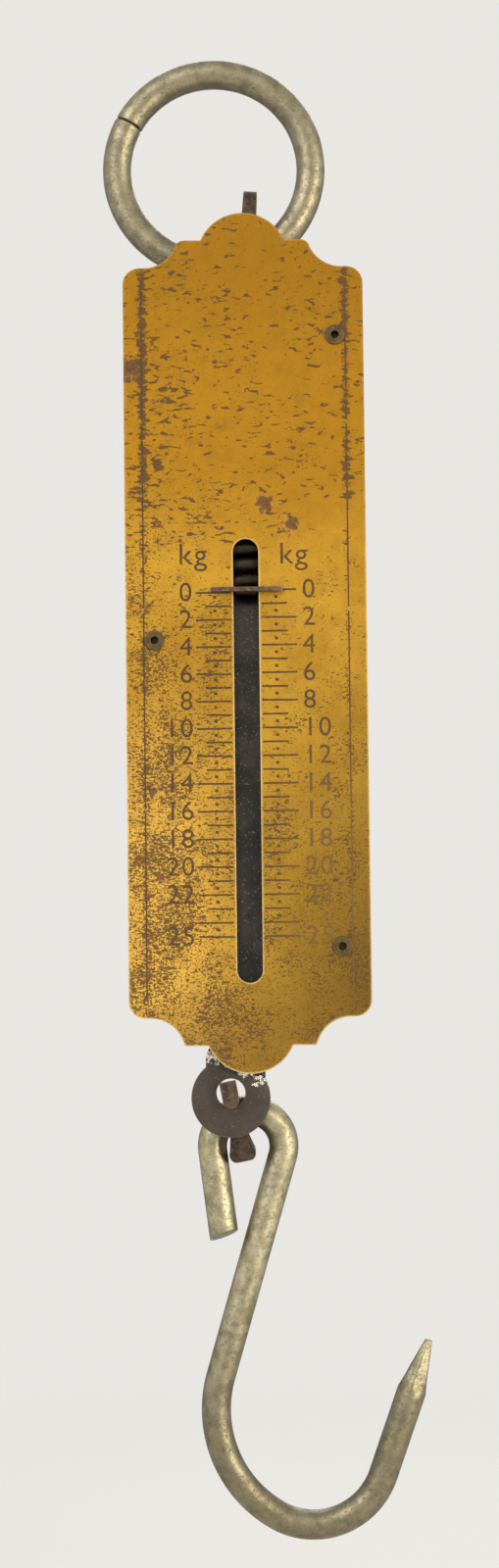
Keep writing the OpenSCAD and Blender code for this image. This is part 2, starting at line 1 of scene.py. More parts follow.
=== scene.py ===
# %% [markdown]
# A hanging spring balance
#
# This balance weighs loads up to 25 kg. A brass plate carries the scale, a spring behind it carries
# a flat steel bar, and a pointer on the bar moves down the slot as the load pulls. The solids of
# all the pieces come from the CAD model. Here they get their finish, and the pieces whose edges and
# surfaces show in the photograph are made again: softened sheet edges, the wound spring, the worn
# ring and hook, and the stamped marks of the scale.

# %% Load the frame
import math

import bmesh
import bpy
from mathutils import Matrix, Vector


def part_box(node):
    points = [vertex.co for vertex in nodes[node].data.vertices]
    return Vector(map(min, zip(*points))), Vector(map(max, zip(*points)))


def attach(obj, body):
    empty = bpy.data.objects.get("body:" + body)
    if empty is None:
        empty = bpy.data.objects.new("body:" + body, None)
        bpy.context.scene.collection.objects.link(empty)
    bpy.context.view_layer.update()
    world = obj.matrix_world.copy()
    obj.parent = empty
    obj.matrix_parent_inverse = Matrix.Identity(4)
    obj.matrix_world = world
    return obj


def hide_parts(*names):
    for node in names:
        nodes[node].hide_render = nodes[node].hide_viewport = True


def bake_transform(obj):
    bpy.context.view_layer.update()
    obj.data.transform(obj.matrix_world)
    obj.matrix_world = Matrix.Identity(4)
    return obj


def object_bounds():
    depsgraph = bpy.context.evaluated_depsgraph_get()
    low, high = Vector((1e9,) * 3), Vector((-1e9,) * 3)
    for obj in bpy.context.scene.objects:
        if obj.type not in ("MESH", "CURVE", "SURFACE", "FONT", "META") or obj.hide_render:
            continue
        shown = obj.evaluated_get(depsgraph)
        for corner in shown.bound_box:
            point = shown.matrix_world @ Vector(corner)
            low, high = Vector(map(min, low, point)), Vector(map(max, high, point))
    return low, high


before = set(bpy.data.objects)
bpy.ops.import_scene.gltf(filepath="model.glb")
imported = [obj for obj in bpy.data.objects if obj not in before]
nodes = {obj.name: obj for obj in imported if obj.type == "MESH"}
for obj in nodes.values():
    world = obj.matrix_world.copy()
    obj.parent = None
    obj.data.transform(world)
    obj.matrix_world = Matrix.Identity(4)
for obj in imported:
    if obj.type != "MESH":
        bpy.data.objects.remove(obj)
cad_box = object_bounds()
MM = 0.001
print("nodes:", len(nodes), "CAD box:", [[round(v, 4) for v in c] for c in cad_box])

# %% [markdown]
# One place to measure from
#
# The model's origin is the top of the suspension ring. The marks of the scale are easier to place
# from the zero mark and from the back of the brass plate, so one small function turns such a place,
# in millimetres, into the model's metres.

# %% Measure from the zero mark
ZERO = Vector((0.0051, -0.011, -0.095716))


def at(x, y, z):
    """A point in mm from the zero mark and the back of the plate, in the model's metres."""
    return Vector((x * MM, y * MM, z * MM)) + ZERO


plate_low, plate_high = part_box("face_plate")
print("plate from", [round(v, 4) for v in plate_low], "to", [round(v, 4) for v in plate_high])

# %% [markdown]
# The camera
#
# The photograph looks almost straight at the plate, from about half a metre away and from a little
# below, so the bottom of the plate looks larger than its top. The picture is 1600 pixels high, and
# the lens is worked out from the length of object that fits in it. The object leans a little to the
# left, so the camera is rolled. Distances are in metres here, angles in degrees, and the point that
# the camera looks at in millimetres.

# %% Place the camera
FRAME_H = 1600
VIEW_DISTANCE = 0.48
VIEW_DROP = 3.06
VIEW_ROLL = -0.645
VIEW_X, VIEW_Z = 0.253, -35.05
PX_PER_MM = 5.6614
CLIP_FROM = 0.01
view_centre = at(VIEW_X, 0, VIEW_Z)
seen_height = FRAME_H / PX_PER_MM * MM
camera_data = bpy.data.cameras.new("photo_camera")
camera_data.lens = camera_data.sensor_width * VIEW_DISTANCE / seen_height
camera_data.clip_start = CLIP_FROM
camera = bpy.data.objects.new("photo_camera", camera_data)
bpy.context.scene.collection.objects.link(camera)
drop = math.radians(VIEW_DROP)
away = Vector((0, -math.cos(drop), -math.sin(drop)))
roll = Matrix.Rotation(math.radians(VIEW_ROLL), 4, "Z")
camera.matrix_world = (Matrix.Translation(view_centre + away * VIEW_DISTANCE)
                       @ (-away).to_track_quat("-Z", "Y").to_matrix().to_4x4() @ roll)
bpy.context.scene.camera = camera
print("lens", round(camera_data.lens, 2), "mm")

# %% [markdown]
# Colours and nodes
#
# Colours are picked as hex values, which are what a screen shows. The renderer works with linear
# light, so one function converts them. A second function adds a node to a material, sets it and
# links it, so that each material below reads as a list of steps. Each step gives back one output of
# its node, and the next steps use it as an input. A number that stays the same is set on the socket
# itself.
#
# Several inputs of a node can have one name, so they are given by their number:
#
# - Map Range: 0 is the value, 1 and 2 are the range that it comes from, 3 and 4 the range it goes
#   to.
# - Mix: 0 is the factor, and the two colours are 6 and 7, or the two numbers 2 and 3.
# - Math and Vector Math: 0 and 1 are the two values, and 2 is what a multiply-add adds.
#
# SOFT lets a Map Range ease in and out, and RGBA lets a Mix blend colours. The coordinates are in
# millimetres, so a noise of scale 1 / 26 has patches of 26 mm.


# %% Helpers for materials
def colour(hex_value):
    """Linear RGBA from an sRGB hex value."""
    parts = [int(hex_value[i:i + 2], 16) / 255 for i in (1, 3, 5)]
    return [c / 12.92 if c <= 0.04045 else ((c + 0.055) / 1.055) ** 2.4 for c in parts] + [1.0]


def add(tree, kind, inputs, out=0, **settings):
    """Adds a node with its settings, values and links, and gives back one of its outputs."""
    node = tree.nodes.new("ShaderNode" + kind)
    for name, value in settings.items():
        setattr(node, name, value)
    for key, value in inputs.items():
        if isinstance(value, bpy.types.NodeSocket):
            tree.links.new(value, node.inputs[key])
        else:
            node.inputs[key].default_value = value
    return node.outputs[out] if node.outputs else None


def start_material(name):
    """A new material with an empty tree, and coordinates in mm from the zero mark."""
    material = bpy.data.materials.new(name)
    material.use_nodes = True
    tree = material.node_tree
    tree.nodes.clear()
    place = add(tree, "TexCoord", {}, "Object")
    spot = add(tree, "Mapping", {"Vector": place, "Location": -ZERO / MM, "Scale": [1 / MM] * 3})
    return material, tree, spot


SOFT = {"interpolation_type": "SMOOTHSTEP"}
RGBA = {"out": 2, "data_type": "RGBA"}
print("a brass yellow in linear light:", [round(c, 3) for c in colour("#D0A038")])

# %% [markdown]
# Aged brass
#
# The plate is rolled sheet brass that was stamped and once lacquered. With age it has gone dull in
# patches, dirt and corrosion have eaten short dark marks, and steel below has left brown stains. A
# metal has no colour of its own beneath its reflection, so its base colour is the colour of the
# reflection. The corroded marks are darker, rougher and hardly metallic, and they lie a little
# lower. The grain of the sheet is too fine to show in the picture, so it is drawn at 0.35 mm.
#
# First come the colours of the brass where it is neither corroded nor stained, with painted light
# and shade in them. Two yellows lie in broad patches. Above the scale they go over to a deep
# yellow,
# which is browner in the rounded top: this darkening is painted shade. The lower left is bright
# with a painted reflection, the lower right olive brown with painted shade, and the rounded foot a
# little browner again. Small clouds of tarnish lie over all of it.


# %% Colours of the brass
def brass_tone(tree, spot, x, z):
    """The brass where it is neither corroded nor stained, with painted reflection and shade."""
    patches = add(tree, "TexNoise",
                  {"Vector": spot, "Scale": 1 / 26, "Detail": 4, "Roughness": 0.6})
    warm = add(tree, "MapRange", {0: patches, 1: 0.38, 2: 0.66}, **SOFT)
    tone = add(tree, "Mix", {0: warm, 6: colour("#D0A038"), 7: colour("#B5872C")}, **RGBA)
    # Painted shade: the brass goes deeper and browner towards the top.
    high = add(tree, "MapRange", {0: z, 1: -6, 2: 26, 4: 0.9}, **SOFT)
    tone = add(tree, "Mix", {0: high, 6: tone, 7: colour("#AD7B20")}, **RGBA)
    painted_shade_top = add(tree, "MapRange", {0: z, 1: 30, 2: 62, 4: 0.6}, **SOFT)
    tone = add(tree, "Mix", {0: painted_shade_top, 6: tone, 7: colour("#94681C")}, **RGBA)
    # Painted reflection: a bright glow in the lower left.
    leftness = add(tree, "MapRange", {0: x, 1: 4, 2: -16, 4: 0.85}, **SOFT)
    deep = add(tree, "MapRange", {0: z, 1: -10, 2: -50}, **SOFT)
    painted_reflection = add(tree, "Math", {0: leftness, 1: deep}, operation="MULTIPLY")
    tone = add(tree, "Mix", {0: painted_reflection, 6: tone, 7: colour("#F2BE54")}, **RGBA)
    # Painted shade: olive brown in the lower right.
    rightness = add(tree, "MapRange", {0: x, 1: -14, 2: 24}, **SOFT)
    lowness = add(tree, "MapRange", {0: z, 1: 10, 2: -80}, **SOFT)
    corner = add(tree, "Math", {0: rightness, 1: lowness}, operation="MULTIPLY")
    tone = add(tree, "Mix", {0: corner, 6: tone, 7: colour("#7C6029")}, **RGBA)
    foot = add(tree, "MapRange", {0: z, 1: -70, 2: -82, 4: 0.6}, **SOFT)
    tone = add(tree, "Mix", {0: foot, 6: tone, 7: colour("#94702F")}, **RGBA)
    clouds = add(tree, "TexNoise", {"Vector": spot, "Scale": 1 / 4, "Detail": 7, "Roughness": 0.78})
    cloudy = add(tree, "MapRange", {0: clouds, 1: 0.46, 2: 0.74, 4: 0.45}, **SOFT)
    return add(tree, "Mix", {0: cloudy, 6: tone, 7: colour("#8A6826")}, **RGBA)


# %% [markdown]
# The corrosion marks are short dark worms that lie across the plate. Above the scale they are few
# and up to 2 mm long. From the zero mark down they are small and dense, with specks between them.
# Each layer is the high spots of a fine noise. Slow rises towards the left, towards the bottom and
# beside the upper part of the two engraved side lines, where dirt gathers, let more of the marks
# through. The dirt lies on the face alone, a little to the inner side of each line.

# %% Corrosion marks of the brass
DIRT_LINE = 18.4
WORM_LONG, WORM_SHORT, SPECK = 0.95, 0.52, 0.32


def corrosion(tree, spot, x, y, z):
    """1 in a mark or a speck of corrosion, and 0 on clean brass."""
    left = add(tree, "MapRange", {0: x, 1: 9, 2: -22, 4: 0.08}, **SOFT)
    down = add(tree, "MapRange", {0: z, 1: 34, 2: -4, 3: 0.4}, **SOFT)
    left = add(tree, "Math", {0: left, 1: down}, operation="MULTIPLY")
    low = add(tree, "MapRange", {0: z, 1: 15, 2: -60, 4: 0.045}, **SOFT)
    drift = add(tree, "TexNoise", {"Vector": spot, "Scale": 1 / 9, "Detail": 3, "Roughness": 0.6})
    some = add(tree, "MapRange", {0: drift, 1: 0.35, 2: 0.7, 3: -0.03, 4: 0.06}, **SOFT)
    more = add(tree, "Math", {0: left, 1: low}, operation="ADD")
    more = add(tree, "Math", {0: more, 1: some}, operation="ADD")
    out = add(tree, "Math", {0: x}, operation="ABSOLUTE")
    line = add(tree, "Math", {0: out, 1: DIRT_LINE}, operation="SUBTRACT")
    line = add(tree, "Math", {0: line}, operation="ABSOLUTE")
    line = add(tree, "MapRange", {0: line, 1: 1.2, 2: 0.2, 4: 0.14}, **SOFT)
    upper = add(tree, "MapRange", {0: z, 1: 2, 2: 30, 3: 0.3}, **SOFT)
    face = add(tree, "MapRange", {0: y, 1: -0.3, 2: -0.6})
    line = add(tree, "Math", {0: line, 1: upper}, operation="MULTIPLY")
    line = add(tree, "Math", {0: line, 1: face}, operation="MULTIPLY")
    more = add(tree, "Math", {0: more, 1: line}, operation="ADD")
    high = add(tree, "MapRange", {0: z, 1: -4, 2: 14}, **SOFT)
    long = add(tree, "Mapping", {"Vector": spot, "Scale": (0.5, 1, 1.25)})
    long = add(tree, "TexNoise",
               {"Vector": long, "Scale": 1 / WORM_LONG, "Detail": 3, "Distortion": 0.6})
    long = add(tree, "Math", {0: long, 1: 0.04}, operation="ADD")
    short = add(tree, "Mapping", {"Vector": spot, "Scale": (0.62, 1, 1.5)})
    short = add(tree, "TexNoise",
                {"Vector": short, "Scale": 1 / WORM_SHORT, "Detail": 2.5, "Distortion": 0.5})
    worms = add(tree, "Mix", {0: high, 2: short, 3: long})
    worms = add(tree, "Math", {0: worms, 1: more}, operation="ADD")
    worms = add(tree, "MapRange", {0: worms, 1: 0.665, 2: 0.7}, **SOFT)
    specks = add(tree, "TexNoise",
                 {"Vector": spot, "Scale": 1 / SPECK, "Detail": 2, "Roughness": 0.6})
    specks = add(tree, "Math", {0: specks, 1: more}, operation="ADD")
    specks = add(tree, "Math", {0: specks, 1: low}, operation="ADD")
    specks = add(tree, "MapRange", {0: specks, 1: 0.68, 2: 0.74}, **SOFT)
    return add(tree, "Math", {0: worms, 1: specks}, operation="MAXIMUM")


# %% [markdown]
# Brown stains sit where steel lay against the brass: at the left edge, at the upper eyelet and in
# the two smears above the sign for the kilogram. Each one is a place and a radius in millimetres: a
# distance from the place, made ragged by noise, shows where the stain is.

# %% Stains of the brass
STAINS = [((-17.0, 0, -36.0), 1.9), ((-20.6, 0, 40.5), 3.2), ((3.6, 0, 15.6), 2.2),
          ((8.2, 0, 11.8), 2.4), ((14.2, 0, 46.6), 1.6), ((-16.2, 0, -51.6), 1.6),
          ((-19.6, 0, -49.0), 1.2)]


def stained(tree, spot):
    """1 in the middle of a stain, and 0 outside all of them."""
    ragged = add(tree, "TexNoise",
                 {"Vector": spot, "Scale": 1 / 1.3, "Detail": 4, "Roughness": 0.7})
    stains = 0.0
    for centre, size in STAINS:
        gap = add(tree, "VectorMath", {0: spot, 1: centre}, 1, operation="DISTANCE")
        shift = add(tree, "MapRange", {0: ragged, 1: 0.3, 2: 0.7, 3: -size * 0.55, 4: size * 0.55})
        edge = add(tree, "Math", {0: gap, 1: shift}, operation="ADD")
        stain = add(tree, "MapRange", {0: edge, 1: size, 2: size * 0.55}, **SOFT)
        stains = add(tree, "Math", {0: stain, 1: stains}, operation="MAXIMUM")
    return stains


print(len(STAINS), "stains, the widest", 2 * max(size for _, size in STAINS), "mm across")

# %% [markdown]
# Edges are the last thing that the eye checks on a worn object. The bevel node gives the normal
# that a rounded edge would have. Where it differs from the real normal, there is an edge, so the
# difference is a mask for a painted highlight along the brass edges, and later for lighter rims on
# steel: brown rims on the draw bar, and in the finishes of the table rims that are partly worn
# edges and partly painted highlight.

# %% Find the edges
FLAT_FROM, EDGE_FROM = 0.99, 0.86


def near_edge(tree, radius_mm):
    """1 on an edge, and 0 at the given distance from it."""
    rounded = add(tree, "Bevel", {"Radius": radius_mm * MM}, samples=6)
    normal = add(tree, "NewGeometry", {}, "Normal")
    same = add(tree, "VectorMath", {0: rounded, 1: normal}, 1, operation="DOT_PRODUCT")
    return add(tree, "MapRange", {0: same, 1: FLAT_FROM, 2: EDGE_FROM}, **SOFT)


# %% [markdown]
# Now the layers come together. Stains cover the tone of the brass, the marks cover the stains, and
# a painted highlight brightens the edges, most of all low down. What is stained or corroded is less
# metallic and rougher, and the marks lie lower than the face. A fine haze keeps the brass from
# shining evenly.


# %% Brass of the face plate
def brass_plate():
    """Rolled sheet brass with stains, corrosion marks and a painted highlight on the edges."""
    material, tree, spot = start_material("aged rolled brass")
    x, y, z = [add(tree, "SeparateXYZ", {0: spot}, way) for way in "XYZ"]
    marks, stains = corrosion(tree, spot, x, y, z), stained(tree, spot)
    grain = add(tree, "TexNoise", {"Vector": spot, "Scale": 1 / 0.8, "Detail": 4, "Roughness": 0.6})
    grain = add(tree, "MapRange", {0: grain, 1: 0.4, 2: 0.62}, **SOFT)
    rust = add(tree, "Mix", {0: grain, 6: colour("#6E4526"), 7: colour("#4A3222")}, **RGBA)
    cover = add(tree, "Math", {0: stains, 1: 0.88}, operation="MULTIPLY")
    tone = add(tree, "Mix", {0: cover, 6: brass_tone(tree, spot, x, z), 7: rust}, **RGBA)
    dark = add(tree, "Math", {0: marks, 1: 0.92}, operation="MULTIPLY")
    tone = add(tree, "Mix", {0: dark, 6: tone, 7: colour("#5A3F1C")}, **RGBA)
    # Painted highlight: a bright line along the edges, strongest low down.
    highlight_low_down = add(tree, "MapRange", {0: z, 1: 30, 2: -10, 3: 0.2, 4: 0.8}, **SOFT)
    wear_and_edge_highlight = add(tree, "Math", {0: near_edge(tree, 0.7), 1: highlight_low_down}, operation="MULTIPLY")
    tone = add(tree, "Mix", {0: wear_and_edge_highlight, 6: tone, 7: colour("#F7DC96")}, **RGBA)
    dull = add(tree, "Math", {0: dark, 1: stains}, operation="MAXIMUM")
    metal = add(tree, "MapRange", {0: dull, 3: 1.0, 4: 0.15})
    haze = add(tree, "TexNoise", {"Vector": spot, "Scale": 1 / 3, "Detail": 5, "Roughness": 0.7})
    haze = add(tree, "MapRange", {0: haze, 1: 0.3, 2: 0.75, 3: 0.34, 4: 0.5})
    rough = add(tree, "Math", {0: dull, 1: 0.35, 2: haze}, operation="MULTIPLY_ADD")
    fine = add(tree, "TexNoise", {"Vector": spot, "Scale": 1 / 0.35, "Detail": 3, "Roughness": 0.6})
    height = add(tree, "Math", {0: dull, 1: -1.0, 2: fine}, operation="MULTIPLY_ADD")
    relief = add(tree, "Bump", {"Height": height, "Distance": 0.05 * MM, "Strength": 1.0})
    shader = add(tree, "BsdfPrincipled",
                 {"Base Color": tone, "Metallic": metal, "Roughness": rough, "Normal": relief})
    add(tree, "OutputMaterial", {"Surface": shader})
    return material


brass = brass_plate()
print("made", brass.name, "with", len(brass.node_tree.nodes), "nodes")

# %% [markdown]
# Stamped marks
#
# The scale was stamped into the sheet with steel dies and then filled with dark wax. Much of the
# wax has worn away, so the marks are dark in some places and show dull brass in others. The right
# row has faded most, from the middle of the scale down. The crumbs of the wax are drawn at 0.25 mm,
# coarser than the real ones, so that they show.


# %% Dirt and wax in the stamped marks
def stamped_wax():
    """Dark wax that has crumbled away in places, most of all at the lower right."""
    material, tree, spot = start_material("wax and dirt in stamped marks")
    x, z = [add(tree, "SeparateXYZ", {0: spot}, way) for way in ("X", "Z")]
    gone = add(tree, "TexNoise", {"Vector": spot, "Scale": 1 / 1.4, "Detail": 4, "Roughness": 0.65})
    gone = add(tree, "MapRange", {0: gone, 1: 0.5, 2: 0.66}, **SOFT)
    right = add(tree, "MapRange", {0: x, 1: 2, 2: 13, 3: 0.12, 4: 0.62}, **SOFT)
    low = add(tree, "MapRange", {0: z, 1: -20, 2: -45, 3: 0.25}, **SOFT)
    fade = add(tree, "Math", {0: right, 1: low}, operation="MULTIPLY")
    tone = add(tree, "Mix", {0: gone, 6: colour("#46301A"), 7: colour("#755420")}, **RGBA)
    tone = add(tree, "Mix", {0: fade, 6: tone, 7: colour("#866428")}, **RGBA)
    metal = add(tree, "Math", {0: gone, 1: 0.6}, operation="MULTIPLY")
    crumbs = add(tree, "TexNoise",
                 {"Vector": spot, "Scale": 1 / 0.25, "Detail": 3, "Roughness": 0.6})
    relief = add(tree, "Bump", {"Height": crumbs, "Distance": 0.05 * MM, "Strength": 1.0})
    shader = add(tree, "BsdfPrincipled",
                 {"Base Color": tone, "Metallic": metal, "Roughness": 0.75, "Normal": relief})
    add(tree, "OutputMaterial", {"Surface": shader})
    return material


wax = stamped_wax()
print("made", wax.name)

# %% [markdown]
# Worn nickel plate
#
# Ring and hook are bent from steel wire and nickel plated. The plate is thin, so where it was
# rubbed it is still silvery, and where it has worn through it is grey brown with fine dark pores
# and a greenish bloom. Grime fills the pores. The hook goes darker towards its bowl, which is
# painted shade, and the ring is darker than the upper bend of the hook. The inner and the outer
# side of the wire, where the normal turns away from the depth axis, are darker too, with painted
# shade.
# Real pores are finer than a tenth of a millimetre. Here they are drawn at 0.4 mm, so that they
# show.


# %% Worn nickel
def worn_nickel():
    """Nickel that is silvery where it lasts, with dark pores where it has worn, and painted shade.
    """
    material, tree, spot = start_material("worn nickel plate on steel")
    wear_and_edge_highlight = add(tree, "TexNoise",
                 {"Vector": spot, "Scale": 1 / 2.6, "Detail": 6, "Roughness": 0.7})
    wear_and_edge_highlight = add(tree, "MapRange", {0: wear_and_edge_highlight, 1: 0.36, 2: 0.68}, **SOFT)
    tone = add(tree, "Mix", {0: wear_and_edge_highlight, 6: colour("#C2B898"), 7: colour("#8F886C")}, **RGBA)
    bloom = add(tree, "TexNoise",
                {"Vector": spot, "Scale": 1 / 2.2, "Detail": 5, "Roughness": 0.65})
    bloom = add(tree, "MapRange", {0: bloom, 1: 0.5, 2: 0.72, 4: 0.4}, **SOFT)
    tone = add(tree, "Mix", {0: bloom, 6: tone, 7: colour("#6F755B")}, **RGBA)
    z = add(tree, "SeparateXYZ", {0: spot}, "Z")
    # Painted shade: darker towards the bowl of the hook.
    bowl_painted_shade = add(tree, "MapRange", {0: z, 1: -116, 2: -156, 4: 0.6}, **SOFT)
    tone = add(tree, "Mix", {0: bowl_painted_shade, 6: tone, 7: colour("#625A48")}, **RGBA)
    ring = add(tree, "MapRange", {0: z, 1: 40, 2: 60, 4: 0.5}, **SOFT)
    tone = add(tree, "Mix", {0: ring, 6: tone, 7: colour("#6B6250")}, **RGBA)
    pores = add(tree, "TexNoise", {"Vector": spot, "Scale": 1 / 0.4, "Detail": 3, "Roughness": 0.7})
    pores = add(tree, "MapRange", {0: pores, 1: 0.56, 2: 0.66, 4: 0.6}, **SOFT)
    blots = add(tree, "TexNoise", {"Vector": spot, "Scale": 1 / 1.9, "Detail": 4, "Roughness": 0.6})
    blots = add(tree, "MapRange", {0: blots, 1: 0.65, 2: 0.74, 4: 0.6}, **SOFT)
    dark = add(tree, "Math", {0: pores, 1: blots}, operation="MAXIMUM")
    tone = add(tree, "Mix", {0: dark, 6: tone, 7: colour("#4A4232")}, **RGBA)
    # Painted shade: darker on the inner and outer sides of the wire.
    turned = add(tree, "SeparateXYZ", {0: add(tree, "TexCoord", {}, "Normal")}, "Y")
    turned = add(tree, "Math", {0: turned}, operation="ABSOLUTE")
    painted_side_shade = add(tree, "MapRange", {0: turned, 1: 0.7, 2: 0.1, 4: 0.8}, **SOFT)
    tone = add(tree, "Mix", {0: painted_side_shade, 6: tone, 7: colour("#443E30")}, **RGBA)
    sheen = add(tree, "MapRange", {0: wear_and_edge_highlight, 3: 0.38, 4: 0.46})
    rough = add(tree, "Math", {0: dark, 1: 0.25, 2: sheen}, operation="MULTIPLY_ADD")
    metal = add(tree, "MapRange", {0: dark, 3: 1.0, 4: 0.55})
    dents = add(tree, "TexNoise", {"Vector": spot, "Scale": 1 / 1.6, "Detail": 5, "Roughness": 0.7})
    height = add(tree, "Math", {0: dark, 1: -0.35, 2: dents}, operation="MULTIPLY_ADD")
    relief = add(tree, "Bump", {"Height": height, "Distance": 0.12 * MM, "Strength": 1.0})
    shader = add(tree, "BsdfPrincipled",
                 {"Base Color": tone, "Metallic": metal, "Roughness": rough, "Normal": relief})
    add(tree, "OutputMaterial", {"Surface": shader})
    return material


nickel = worn_nickel()
print("made", nickel.name)

# %% [markdown]
# Rusted, oiled and lacquered steel
#
# The other finishes differ in their colours and in how metallic and how rough they are, but each is
# a base of two tones, a patchy crust over it, and a fine grain that can be felt. So one function
# makes them all from a table:
#
# - The links are soft steel strip that has rusted brown.
# - The draw bar, its round eye and the plates inside the case have the dark skin of heat and oil.
# - The case is japanned, which is a baked dark lacquer, and rust has come through it.
# - The spring is oiled wire, the pointer has lost its black and rusted, and the eyelets are dull
#   brass.

# %% Steel and small brass parts
FINISHES = {
    "brown rusted steel strip": dict(
        low="#2E2620", high="#5A4636", base_mm=2.2, metal=0.3, rough=0.66, relief_mm=0.12,
        crust="#86694A", crust_mm=0.6, crust_from=0.54, cover=0.6, crust_rough=0.8, rim="#A08058"),
    "heat darkened oiled steel": dict(
        low="#302F2C", high="#45403B", base_mm=4, metal=0.7, rough=0.45, relief_mm=0.05,
        crust="#6A5040", crust_mm=1.1, crust_from=0.6, cover=0.5, crust_rough=0.7, rim="#6A5244"),
    "japanned steel sheet": dict(
        low="#231C18", high="#362A22", base_mm=14, metal=0.0, rough=0.34, relief_mm=0.08,
        crust="#6B4128", crust_mm=3.4, crust_from=0.58, cover=1.0, crust_rough=0.8, rim="#7A5238"),
    "oiled spring steel wire": dict(
        low="#3E3730", high="#2A231B", base_mm=2.5, metal=0.9, rough=0.42, relief_mm=0.05,
        crust="#7A5438", crust_mm=0.9, crust_from=0.6, cover=0.9, crust_rough=0.6, rim="#7A5438"),
    "rusty steel pointer": dict(
        low="#43342A", high="#6E5340", base_mm=1.4, metal=0.4, rough=0.5, relief_mm=0.06,
        crust="#9A7A5E", crust_mm=0.6, crust_from=0.55, cover=0.7, crust_rough=0.72, rim="#A88A6C"),
    "dull brass eyelet": dict(
        low="#6A5A3A", high="#51442E", base_mm=0.9, metal=0.85, rough=0.46, relief_mm=0.04,
        crust="#3A3024", crust_mm=0.5, crust_from=0.58, cover=0.7, crust_rough=0.7, rim="#8A744A"),
}


def aged_finish(name, low, high, base_mm, metal, rough, relief_mm,
                crust, crust_mm, crust_from, cover, crust_rough, rim):
    """A finish from a row of the table: two tones, a crust in patches, and a rim of wear and
    painted highlight.
    """
    material, tree, spot = start_material(name)
    base = add(tree, "TexNoise",
               {"Vector": spot, "Scale": 1 / base_mm, "Detail": 5, "Roughness": 0.62})
    base = add(tree, "MapRange", {0: base, 1: 0.38, 2: 0.66}, **SOFT)
    tone = add(tree, "Mix", {0: base, 6: colour(low), 7: colour(high)}, **RGBA)
    patch = add(tree, "TexNoise",
                {"Vector": spot, "Scale": 1 / crust_mm, "Detail": 5, "Roughness": 0.65})
    patch = add(tree, "MapRange", {0: patch, 1: crust_from, 2: crust_from + 0.12, 4: cover}, **SOFT)
    tone = add(tree, "Mix", {0: patch, 6: tone, 7: colour(crust)}, **RGBA)
    # The lighter rim along the edges is partly worn edges and partly painted highlight.
    worn = add(tree, "Math", {0: near_edge(tree, 0.3), 1: 0.7}, operation="MULTIPLY")
    tone = add(tree, "Mix", {0: worn, 6: tone, 7: colour(rim)}, **RGBA)
    dull = add(tree, "MapRange", {0: patch, 3: metal, 4: metal * 0.5}) if metal else 0.0
    sheen = add(tree, "MapRange", {0: patch, 3: rough, 4: crust_rough})
    grain = add(tree, "TexNoise",
                {"Vector": spot, "Scale": 1 / 0.45, "Detail": 4, "Roughness": 0.6})
    height = add(tree, "Math", {0: patch, 1: 0.6, 2: grain}, operation="MULTIPLY_ADD")
    relief = add(tree, "Bump", {"Height": height, "Distance": relief_mm * MM, "Strength": 1.0})
    shader = add(tree, "BsdfPrincipled",
                 {"Base Color": tone, "Metallic": dull, "Roughness": sheen, "Normal": relief})
    add(tree, "OutputMaterial", {"Surface": shader})
    return material


rust_strip, dark_bar, japan, wire_steel, pointer_rust, eyelet_brass = [
    aged_finish(name, **values) for name, values in FINISHES.items()]
print("made", len(FINISHES), "finishes:", ", ".join(FINISHES))

# %% [markdown]
# The draw bar
#
# The bar has the same dark skin, but its neck was bent to and fro where it leaves the case. There
# the skin has cracked off along the bend, and bare crumpled steel shines through. The bend runs
# across the neck on a slope, so a band along a sloping line, broken up by noise, shows where the
# steel is bare. In the slot, crumbs of pale dirt lie on the oil.

# %% Dark steel with a bare bend
BEND_ACROSS, BEND_AT, BEND_HALF = (0.438, 0, 0.899), -78.6, 1.5


